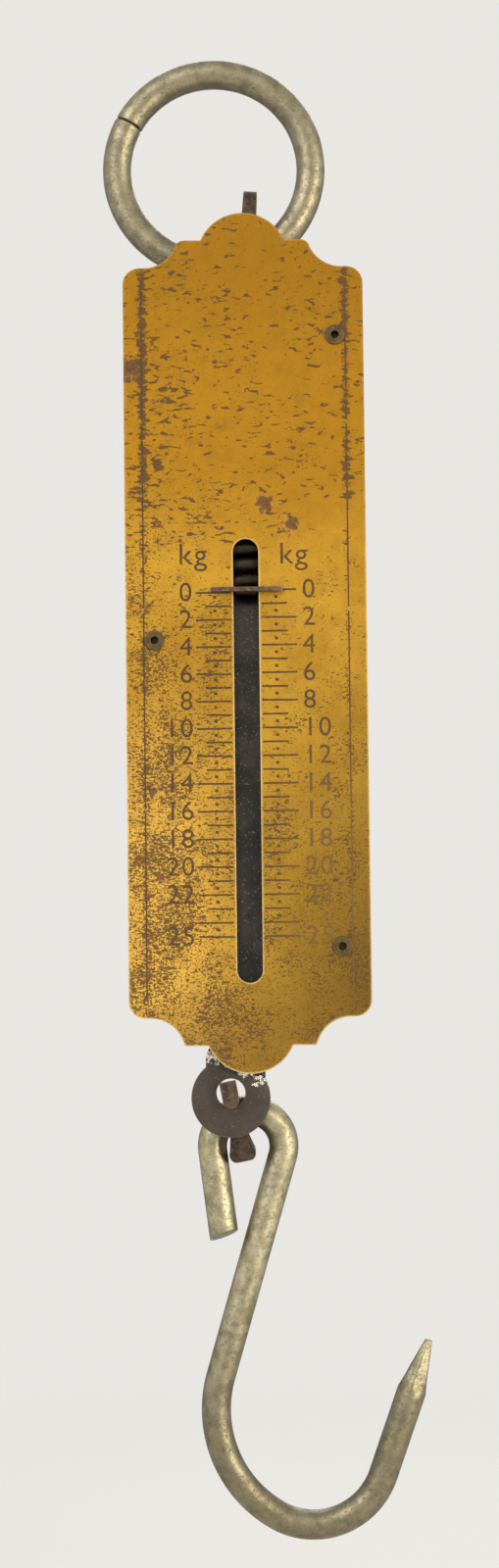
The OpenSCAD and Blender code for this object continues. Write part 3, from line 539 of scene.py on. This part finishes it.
def draw_bar_steel():
    """Dark steel with a band of bare crumpled metal along the bend of the neck."""
    material, tree, spot = start_material("dark steel bar with a bare bend")
    base = add(tree, "TexNoise", {"Vector": spot, "Scale": 1 / 5, "Detail": 5, "Roughness": 0.6})
    base = add(tree, "MapRange", {0: base, 1: 0.36, 2: 0.68}, **SOFT)
    tone = add(tree, "Mix", {0: base, 6: colour("#2B2C2B"), 7: colour("#45403B")}, **RGBA)
    brown = add(tree, "TexNoise",
                {"Vector": spot, "Scale": 1 / 1.2, "Detail": 4, "Roughness": 0.62})
    brown = add(tree, "MapRange", {0: brown, 1: 0.6, 2: 0.72, 4: 0.45}, **SOFT)
    tone = add(tree, "Mix", {0: brown, 6: tone, 7: colour("#67503F")}, **RGBA)
    worn = add(tree, "Math", {0: near_edge(tree, 0.5), 1: 0.75}, operation="MULTIPLY")
    tone = add(tree, "Mix", {0: worn, 6: tone, 7: colour("#7E5E4C")}, **RGBA)
    z = add(tree, "SeparateXYZ", {0: spot}, "Z")
    disc = add(tree, "MapRange", {0: z, 1: -84, 2: -88, 4: 0.5}, **SOFT)
    tone = add(tree, "Mix", {0: disc, 6: tone, 7: colour("#5C5148")}, **RGBA)
    along = add(tree, "VectorMath", {0: spot, 1: BEND_ACROSS}, 1, operation="DOT_PRODUCT")
    along = add(tree, "Math", {0: along, 1: BEND_AT}, operation="SUBTRACT")
    along = add(tree, "Math", {0: along}, operation="ABSOLUTE")
    crumple = add(tree, "TexNoise",
                  {"Vector": spot, "Scale": 1 / 1.6, "Detail": 3, "Roughness": 0.6})
    ragged = add(tree, "Math", {0: crumple, 1: -7.0, 2: along}, operation="MULTIPLY_ADD")
    bare = add(tree, "MapRange", {0: ragged, 1: BEND_HALF - 4.2, 2: BEND_HALF - 4.8}, **SOFT)
    tone = add(tree, "Mix", {0: bare, 6: tone, 7: colour("#D9D2C8")}, **RGBA)
    crumbs = add(tree, "TexNoise",
                 {"Vector": spot, "Scale": 1 / 0.3, "Detail": 2, "Roughness": 0.6})
    crumbs = add(tree, "MapRange", {0: crumbs, 1: 0.66, 2: 0.7, 4: 0.8}, **SOFT)
    tone = add(tree, "Mix", {0: crumbs, 6: tone, 7: colour("#A89A80")}, **RGBA)
    metal = add(tree, "MapRange", {0: bare, 3: 0.65, 4: 1.0})
    sheen = add(tree, "MapRange", {0: bare, 3: 0.46, 4: 0.24})
    fine = add(tree, "TexNoise", {"Vector": spot, "Scale": 1 / 0.5, "Detail": 3, "Roughness": 0.6})
    creases = add(tree, "MapRange", {0: bare, 3: 0.12, 4: 1.0})
    height = add(tree, "Math", {0: crumple, 1: fine}, operation="ADD")
    height = add(tree, "Math", {0: height, 1: creases}, operation="MULTIPLY")
    relief = add(tree, "Bump", {"Height": height, "Distance": 0.4 * MM, "Strength": 1.0})
    shader = add(tree, "BsdfPrincipled",
                 {"Base Color": tone, "Metallic": metal, "Roughness": sheen, "Normal": relief})
    add(tree, "OutputMaterial", {"Surface": shader})
    return material


bar_steel = draw_bar_steel()
print("made", bar_steel.name)

# %% [markdown]
# Sheet and strip with worn edges
#
# The CAD solids have knife edges, and no real sheet does: shears and files leave a narrow round
# edge, which catches the light as a bright line. So the flat pieces are copied from the solids,
# their flat faces are joined again, and each sharp edge gets a narrow bevel. A weighted normal
# keeps the large faces flat in the light. The small pieces inside the case stay as they are, and
# get the dark steel.


# %% Turn a bmesh into a piece
SMOOTH_BELOW = 50


def finish_piece(name, bm, body, material):
    """Turns a bmesh into a piece of the object that moves with a body."""
    mesh = bpy.data.meshes.new(name)
    bm.to_mesh(mesh)
    bm.free()
    mesh.materials.append(material)
    mesh.shade_smooth()
    mesh.set_sharp_from_angle(angle=math.radians(SMOOTH_BELOW))
    piece = bpy.data.objects.new(name, mesh)
    bpy.context.scene.collection.objects.link(piece)
    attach(piece, body)
    print(name, "faces:", len(mesh.polygons))
    return piece


# %% Copy a solid with soft edges
MERGE_WITHIN, FLAT_WITHIN, SHARP_ABOVE = 2e-6, 0.5, 28


def soft_copy(node, body, material, edge_mm, segments=2):
    """A copy of a node whose sharp edges are rounded by a width in mm."""
    bm = bmesh.new()
    bm.from_mesh(nodes[node].data)
    bmesh.ops.remove_doubles(bm, verts=bm.verts, dist=MERGE_WITHIN)
    bmesh.ops.dissolve_limit(bm, angle_limit=math.radians(FLAT_WITHIN),
                             verts=bm.verts, edges=bm.edges)
    sharp = [e for e in bm.edges
             if e.is_manifold and e.calc_face_angle(0) > math.radians(SHARP_ABOVE)]
    bmesh.ops.bevel(bm, geom=sharp, offset=edge_mm * MM, offset_type="OFFSET", affect="EDGES",
                    segments=segments, profile=0.5, material=-1, clamp_overlap=True)
    piece = finish_piece("soft_" + node, bm, body, material)
    piece.modifiers.new("flat faces stay flat", "WEIGHTED_NORMAL").keep_sharp = True
    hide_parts(node)
    return piece


soft_copy("face_plate", "case", brass, 0.2, 3)
soft_copy("back_case", "case", japan, 0.12)
soft_copy("eyelets", "case", eyelet_brass, 0.13, 3)
soft_copy("draw_bar", "load_bar", bar_steel, 0.2, 3)
soft_copy("pointer", "load_bar", pointer_rust, 0.12)
soft_copy("upper_link", "top_link", rust_strip, 0.3, 3)
soft_copy("lower_link", "bottom_link", rust_strip, 0.3, 3)
soft_copy("upper_bar", "case", dark_bar, 0.2)
HIDDEN = ("anchor_plate", "guide_plate", "cross_pin", "pointer_rivet")
for node in HIDDEN:
    nodes[node].material_slots[0].material = dark_bar
print("kept as they are, in dark steel:", ", ".join(HIDDEN))

# %% [markdown]
# The spring
#
# The spring is 2.5 mm wire, wound round a bar, with both ends bent in across the coil to hold in
# holes of two flat bars. A wound wire is easiest to make as a curve with a round bevel: each point
# of the curve is a turn of the angle and a step of height. The upper end stays with the case and
# the lower end goes with the draw bar. The piece lets go of the parent that finish_piece gave it,
# and its place is baked into its mesh.

# %% The way of the wire
WIRE_D, COIL_R, PITCH, TURNS, FIRST_Z = 2.5, 9.4, 3.0, 15, 0.45
SPRING_Y, TURN_IN, END_REACH = 11.0, 3.0, 3.1
LEAD_STEPS, STEPS_A_TURN, WELD_WITHIN = 12, 40, 1e-6
turn_in_y = math.sqrt((COIL_R - TURN_IN) ** 2 - TURN_IN ** 2)
turn_in_angle = math.atan2(turn_in_y, -TURN_IN)
last_z = FIRST_Z + TURNS * PITCH


def coil_z(angle):
    """The height of the coil's wire at an angle of the winding."""
    return FIRST_Z + PITCH * (angle - math.pi / 2) / (2 * math.pi)


end_z = FIRST_Z + END_REACH
lead = [(0, -3.0, end_z), (0, -0.5, end_z), (0, 1.4, end_z - 0.05), (0, 2.4, end_z - 0.7),
        (0, turn_in_y * 0.62, FIRST_Z + END_REACH / 2 - 0.1), (0, turn_in_y * 0.85, FIRST_Z + 0.5)]
for i in range(LEAD_STEPS):
    a = turn_in_angle * i / LEAD_STEPS
    lead.append((TURN_IN * (math.cos(a) - 1), turn_in_y + TURN_IN * math.sin(a),
                 coil_z(math.pi / 2 + (turn_in_angle - math.pi / 2) * i / LEAD_STEPS)))
steps = STEPS_A_TURN * TURNS
sweep = 2 * math.pi * TURNS + math.pi - 2 * turn_in_angle
coils = [(COIL_R * math.cos(a), COIL_R * math.sin(a), coil_z(a))
         for a in (turn_in_angle + sweep * i / steps for i in range(steps + 1))]
top = [(-x, y, FIRST_Z + last_z - z) for x, y, z in reversed(lead)]
spring_points = [at(x, SPRING_Y + y, z) for x, y, z in lead + coils + top]
print("points along the wire:", len(spring_points), "length of the coil:", last_z - FIRST_Z, "mm")

# %% Wind the spring
data = bpy.data.curves.new("wound_spring", "CURVE")
data.dimensions, data.bevel_depth = "3D", WIRE_D / 2 * MM
data.bevel_resolution, data.use_fill_caps = 4, True
path = data.splines.new("POLY")
path.points.add(len(spring_points) - 1)
for spot, place in zip(path.points, spring_points):
    spot.co = (*place, 1)
carrier = bpy.data.objects.new("wound_spring", data)
bm = bmesh.new()
bm.from_mesh(carrier.to_mesh())
bmesh.ops.remove_doubles(bm, verts=bm.verts, dist=WELD_WITHIN)
bmesh.ops.recalc_face_normals(bm, faces=bm.faces)
bpy.data.objects.remove(carrier)
spring = finish_piece("wound_spring", bm, "case", wire_steel)
spring.parent = None
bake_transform(spring)
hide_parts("spring")

# %% [markdown]
# The suspension ring
#
# The ring is a length of wire bent round until its ends meet, so a fine joint shows. A circle is
# spun about the middle of the ring, almost all the way round from the joint at the upper left, and
# its two end faces get a small round edge. The hook below starts and ends in the same way, so these
# steps are functions.


# %% Start and close a wire
def wire_start(place, radius_mm, facing, sides=28):
    """The edges of a circle at a place, square to a direction: the start of a wire."""
    bm = bmesh.new()
    turn = Vector(facing).to_track_quat("Z", "Y").to_matrix().to_4x4()
    bmesh.ops.create_circle(bm, segments=sides, radius=radius_mm * MM,
                            matrix=Matrix.Translation(place) @ turn)
    return bm, bm.edges[:]


def close_wire(bm, edge_mm):
    """Caps both open ends of a wire and rounds their rims."""
    rims = [e for e in bm.edges if e.is_boundary]
    bmesh.ops.holes_fill(bm, edges=rims, sides=0)
    bmesh.ops.recalc_face_normals(bm, faces=bm.faces)
    bmesh.ops.bevel(bm, geom=rims, offset=edge_mm * MM, offset_type="OFFSET", affect="EDGES",
                    segments=3, profile=0.5, material=-1, clamp_overlap=True)


def on_circle(centre, radius, degrees):
    """The x and z of a point on a circle, at an angle from the right."""
    a = math.radians(degrees)
    return (centre[0] + radius * math.cos(a), centre[1] + radius * math.sin(a))


# %% Bend the ring
RING_X, RING_Z, RING_MID, RING_WIRE = -5.1, 80.3158, 18.05, 5.3
JOINT_AT, JOINT_GAP, RING_EDGE, RING_STEPS = 151.0, 0.12, 0.35, 120
half_gap = math.degrees(JOINT_GAP / 2 / RING_MID)
first = JOINT_AT + half_gap
rx, rz = on_circle((RING_X, RING_Z), RING_MID, first)
tangent = (-math.sin(math.radians(first)), 0, math.cos(math.radians(first)))
bm, rim = wire_start(at(rx, SPRING_Y, rz), RING_WIRE / 2, tangent)
bmesh.ops.spin(bm, geom=rim, cent=at(RING_X, SPRING_Y, RING_Z), axis=(0, -1, 0),
               angle=math.radians(360 - 2 * half_gap), steps=RING_STEPS, use_merge=False)
close_wire(bm, RING_EDGE)
ring = finish_piece("bent_ring", bm, "ring", nickel)
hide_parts("suspension_ring")

# %% [markdown]
# The hook
#
# The hook was bent cold from one length of wire: a short return end, a tight bend for the link, a
# straight shank, a wide bowl in two radii and a straight tip. A circle follows the same order here:
# it is extruded along the straights and spun round the bends. First comes the way that it takes,
# from the lengths in millimetres and the angles in degrees, with the place where each bend starts
# and its centre.

# %% The way of the hook
HOOK_Y, HOOK_R = 7.75, 2.65
EYE, EYE_R = (-0.727573, -100.5356), 6.5
SHORT_SLOPE, SHORT_L, SHANK_SLOPE, SHANK_L = 7.1, 15.4, 16.4, 41.2
BOWL_R1, BOWL_R2, BOWL_JOIN, TIP_TURN, TIP_L = 21.7, 13.3, 60.0, 160.3, 25.5
short_way, shank_way, tip_way = 90 + SHORT_SLOPE, -SHANK_SLOPE - 90, TIP_TURN - 90
short_start = on_circle(EYE, EYE_R, 180 + SHORT_SLOPE)
shank_start = on_circle(EYE, EYE_R, -SHANK_SLOPE)
bowl_start = on_circle(shank_start, SHANK_L, shank_way)
bowl_1 = on_circle(bowl_start, BOWL_R1, -SHANK_SLOPE)
join = on_circle(bowl_1, BOWL_R1, 180 + BOWL_JOIN)
bowl_2 = on_circle(join, BOWL_R2, BOWL_JOIN)
tip_start = on_circle(bowl_2, BOWL_R2, TIP_TURN - 180)
eye_turn = 180 + SHORT_SLOPE + SHANK_SLOPE
bowl_turn_1, bowl_turn_2 = BOWL_JOIN + SHANK_SLOPE, TIP_TURN - BOWL_JOIN
bends = sum(math.radians(turn) * radius for turn, radius in
            ((eye_turn, EYE_R), (bowl_turn_1, BOWL_R1), (bowl_turn_2, BOWL_R2)))
print("wire for the hook:", round(SHORT_L + SHANK_L + TIP_L + bends, 1), "mm")


# %% Carry a circle along
def flat_way(degrees, length):
    """A step of a length in mm, at an angle in the plane of the hook."""
    a = math.radians(degrees)
    return Vector((math.cos(a) * length * MM, 0, math.sin(a) * length * MM))


def run_straight(bm, rim, degrees, length, steps):
    """Extrudes a rim along a straight line, and gives back the new rim."""
    for _ in range(steps):
        made = bmesh.ops.extrude_edge_only(bm, edges=rim)["geom"]
        bmesh.ops.translate(bm, verts=[g for g in made if isinstance(g, bmesh.types.BMVert)],
                            vec=flat_way(degrees, length / steps))
        rim = [g for g in made if isinstance(g, bmesh.types.BMEdge) and g.is_boundary]
    return rim


def run_round(bm, rim, centre, degrees, steps):
    """Spins a rim about a centre, and gives back the new rim."""
    made = bmesh.ops.spin(bm, geom=rim, cent=at(centre[0], HOOK_Y, centre[1]), axis=(0, -1, 0),
                          angle=math.radians(degrees), steps=steps, use_merge=False)["geom_last"]
    return [g for g in made if isinstance(g, bmesh.types.BMEdge)]


# %% [markdown]
# The wire was sawn off a little aslant at the short end, so the first circle is slanted once the
# short end stands on it. The tip is made in two lengths, because its last part becomes the point.

# %% Bend the hook
HOOK_SIDES, POINT_L = 30, 9.5
SAWN_BACK, SAWN_ASIDE = 0.25, 0.22
sx, sz = on_circle(short_start, SHORT_L, short_way + 180)
bm, rim = wire_start(at(sx, HOOK_Y, sz), HOOK_R, flat_way(short_way, 1000), HOOK_SIDES)
sawn = {vert for edge in rim for vert in edge.verts}
rim = run_straight(bm, rim, short_way, SHORT_L, 12)
for vert in sawn:
    out = (vert.co - at(sx, HOOK_Y, sz)) / MM
    vert.co -= flat_way(short_way, SAWN_BACK * out.y - SAWN_ASIDE * out.x)
rim = run_round(bm, rim, EYE, -eye_turn, 44)
rim = run_straight(bm, rim, shank_way, SHANK_L, 30)
rim = run_round(bm, rim, bowl_1, bowl_turn_1, 40)
rim = run_round(bm, rim, bowl_2, bowl_turn_2, 36)
rim = run_straight(bm, rim, tip_way, TIP_L - POINT_L, 12)
rim = run_straight(bm, rim, tip_way, POINT_L, 16)
print("the hook's wire has", len(bm.verts), "points")

# %% [markdown]
# The last 9.5 mm were forged to a point with flat sides. Each point of the mesh past its start is
# looked at in turn: how far along it lies gives the radius there, and the way that it faces round
# the wire says which of five flats it is pressed against. A flat is an angle round the wire and a
# distance from its middle, as a part of the radius. The flats bite fully after a fifth of the
# point's length.

# %% Forge the point
POINT_R, TAPER, HOOK_EDGE = 0.7, 1.15, 0.45
FLAT_BITE, FLAT_REACH, STARTED, OFF_AXIS = 0.12, 0.2, 1e-4, 1.5
FLATS = [(-78, 0.98), (-20, 0.9), (38, 0.97), (110, 0.94), (180, 0.98)]
px, pz = on_circle(tip_start, TIP_L - POINT_L, tip_way)
axis_start, along = at(px, HOOK_Y, pz), flat_way(tip_way, 1).normalized()
front = Vector((0, -1, 0))
side = front.cross(along).normalized()
for vert in bm.verts:
    gone = (vert.co - axis_start).dot(along) / (POINT_L * MM)
    foot = axis_start + along * gone * POINT_L * MM
    out = vert.co - foot
    if gone <= STARTED or out.length > OFF_AXIS * HOOK_R * MM:
        continue
    a = math.atan2(out.dot(side), out.dot(front))
    radius = HOOK_R + (POINT_R - HOOK_R) * gone ** TAPER
    bite = 1 - FLAT_BITE * min(1, gone * 5)
    facing = [(math.cos(a - math.radians(degrees)), keep) for degrees, keep in FLATS]
    press = min([1.0] + [keep / turn * bite for turn, keep in facing if turn > FLAT_REACH])
    vert.co = foot + out.normalized() * radius * MM * press
close_wire(bm, HOOK_EDGE)
hook = finish_piece("bent_hook", bm, "load_hook", nickel)
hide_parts("hook")

# %% [markdown]
# The marks of the scale
#
# Marks for each kilogram stand 2.5 mm apart, long for even numbers and short for odd ones, with a
# dot for each half. The left row was struck with other dies than the right one, and its first marks
# slipped down a little. Digits come from a text object that is turned into a mesh. The pieces are
# so thin that they lie in the face of the brass like wax in a stamped groove.

# %% Helpers that stamp
PLATE_T, WAX, CAP_HEIGHT, SPACING = 0.9, 0.016, 0.72, 1.1
marks = bmesh.new()


def stamp(x0, x1, z, height, lean=0.0):
    """A flat bar of wax in the face of the plate, from x0 to x1."""
    middle = at((x0 + x1) / 2, -PLATE_T, z)
    size = Matrix.Diagonal((abs(x1 - x0) * MM, 2 * WAX * MM, height * MM, 1))
    turn = Matrix.Rotation(math.radians(lean), 4, "Y")
    bmesh.ops.create_cube(marks, size=1, matrix=Matrix.Translation(middle) @ turn @ size)


def number(text, x, z, align, height=3.5):
    """Digits in the face of the plate, as a mesh joined to the marks."""
    data = bpy.data.curves.new("digits", "FONT")
    data.body, data.align_x, data.align_y = text, align, "CENTER"
    data.size, data.extrude = height / CAP_HEIGHT * MM, WAX * MM
    data.space_character = SPACING
    carrier = bpy.data.objects.new("digits", data)
    mesh = carrier.to_mesh()
    upright = Matrix.Rotation(math.radians(90), 4, "X")
    mesh.transform(Matrix.Translation(at(x, -PLATE_T, z)) @ upright)
    marks.from_mesh(mesh)
    bpy.data.objects.remove(carrier)


# %% Stamp marks and numbers
KG, MAX_KG, NUMBERED = 2.5, 25, [*range(0, 24, 2), 25]
MARK_FROM, LONG_TO, SHORT_TO, MARK_H = 2.75, 9.1, 7.4, 0.34
FIRST_SLIP, SLIP_KG, WOBBLE = 0.45, 12, 0.6
DOT_W, DOT_H, DOT_LEFT, DOT_RIGHT = 0.6, 0.5, -5.65, 5.4
RIGHT_UP, DIGITS_LEFT, DIGITS_RIGHT = 0.05, -9.7, 10.1
SIGNS, SIGN_Z, SIGN_H = (-9.6, 8.6), 6.4, 4.0
for kg in range(MAX_KG + 1):
    reach = LONG_TO if kg % 2 == 0 or kg == MAX_KG else SHORT_TO
    wobble = WOBBLE * math.sin(kg * 2.3)
    slip = FIRST_SLIP * max(0.0, 1 - kg / SLIP_KG)
    stamp(-reach, -MARK_FROM, -kg * KG - slip, MARK_H, wobble)
    stamp(MARK_FROM, reach, -kg * KG + RIGHT_UP, MARK_H, -wobble)
    if kg < MAX_KG:
        half = -(kg + 0.5) * KG
        stamp(DOT_LEFT - DOT_W / 2, DOT_LEFT + DOT_W / 2, half, DOT_H, 10)
        stamp(DOT_RIGHT - DOT_W / 2, DOT_RIGHT + DOT_W / 2, half, DOT_H, 14)
    if kg in NUMBERED:
        number(str(kg), DIGITS_LEFT, -kg * KG - slip, "RIGHT")
        number(str(kg), DIGITS_RIGHT, -kg * KG, "LEFT")
for x in SIGNS:
    number("kg", x, SIGN_Z, "CENTER", SIGN_H)
print("numbers:", *NUMBERED)

# %% [markdown]
# A fine line runs down each side of the plate. It was engraved in four strokes, with a small gap
# where one ends and the next begins.

# %% Engrave the side lines
LINE_X, LINE_W = 18.5, 0.26
STROKES = ((-73.5, -40), (-39.4, -4), (-3.2, 30), (30.9, 56.4))
for x in (-LINE_X, LINE_X):
    for low, high in STROKES:
        stamp(x - LINE_W / 2, x + LINE_W / 2, (low + high) / 2, high - low)
finish_piece("stamped_scale", marks, "case", wax)

# %% [markdown]
# Light
#
# Metal shows what it reflects, so the light around the object matters more than the lamps. The
# world is pale for the camera and for reflections, and dimmer as a light. A large soft lamp stands
# at the upper left, and weaker ones at the right and behind. A small warm one at the right draws a
# narrow streak along the round wires. Each lamp is a place and a size in metres and a power in
# watts, and all of them are turned to the middle of the object.

# %% Make the world
PALE = colour("#E9E7E3")
WORLD_LIGHT = 0.55
world = bpy.data.worlds.new("pale studio")
bpy.context.scene.world = world
world.use_nodes = True
sky = world.node_tree
sky.nodes.clear()
camera_ray, glossy_ray, clear_ray = [add(sky, "LightPath", {}, way) for way in
                                     ("Is Camera Ray", "Is Glossy Ray", "Is Transmission Ray")]
seen = add(sky, "Math", {0: camera_ray, 1: glossy_ray}, operation="MAXIMUM")
seen = add(sky, "Math", {0: seen, 1: clear_ray}, operation="MAXIMUM")
strength = add(sky, "MapRange", {0: seen, 3: WORLD_LIGHT, 4: 1.0})
air = add(sky, "Background", {"Color": PALE, "Strength": strength})
add(sky, "OutputWorld", {"Surface": air})
print("made", world.name)

# %% Place the lamps
LAMP_AIM = Vector((0, 0, -0.12))


def lamp(name, place, size, watts, tint="#FFFFFF"):
    """A square lamp that is turned to the middle of the object."""
    data = bpy.data.lights.new(name, "AREA")
    data.size, data.energy, data.color = size, watts, colour(tint)[:3]
    lamp_object = bpy.data.objects.new(name, data)
    bpy.context.scene.collection.objects.link(lamp_object)
    way = LAMP_AIM - Vector(place)
    turn = way.to_track_quat("-Z", "Y").to_matrix().to_4x4()
    lamp_object.matrix_world = Matrix.Translation(place) @ turn
    print(name, "lamp:", watts, "W, at", round(way.length, 2), "m")


lamp("key", (-0.55, -0.75, 0.45), 0.8, 5.7)
lamp("streak", (0.66, -0.68, -0.06), 0.16, 2.6, "#FFE9C4")
lamp("fill", (0.8, -0.5, -0.05), 0.7, 3)
lamp("back", (0.1, 0.8, 0.35), 0.6, 4)

# %% [markdown]
# Floor
#
# The balance hangs free, so the floor lies some way below the hook and takes only its soft shadow.
# It is a pale matt sheet that goes over to clear with distance, so that no horizon shows.

# %% Lay the floor
FLOOR_Z = cad_box[0][2] - 0.12
FLOOR_HALF, FADE_FROM, FADE_TO = 1.2, 0.3, 0.9
floor_bm = bmesh.new()
bmesh.ops.create_grid(floor_bm, x_segments=1, y_segments=1, size=FLOOR_HALF,
                      matrix=Matrix.Translation((0, 0, FLOOR_Z)))
floor_mesh = bpy.data.meshes.new("floor")
floor_bm.to_mesh(floor_mesh)
floor_bm.free()
floor = bpy.data.objects.new("floor", floor_mesh)
bpy.context.scene.collection.objects.link(floor)
matt = bpy.data.materials.new("pale matt floor")
matt.use_nodes = True
ground = matt.node_tree
ground.nodes.clear()
place = add(ground, "TexCoord", {}, "Object")
far = add(ground, "VectorMath", {0: place, 1: (0, 0, FLOOR_Z)}, 1, operation="DISTANCE")
fade = add(ground, "MapRange", {0: far, 1: FADE_FROM, 2: FADE_TO}, **SOFT)
chalk = add(ground, "BsdfDiffuse", {"Color": PALE})
clear = add(ground, "BsdfTransparent", {})
faded = add(ground, "MixShader", {0: fade, 1: chalk, 2: clear})
add(ground, "OutputMaterial", {"Surface": faded})
floor_mesh.materials.append(matt)
bpy.context.scene.view_settings.view_transform = "Standard"
print("the floor lies", round(cad_box[0][2] - FLOOR_Z, 3), "m below the hook")
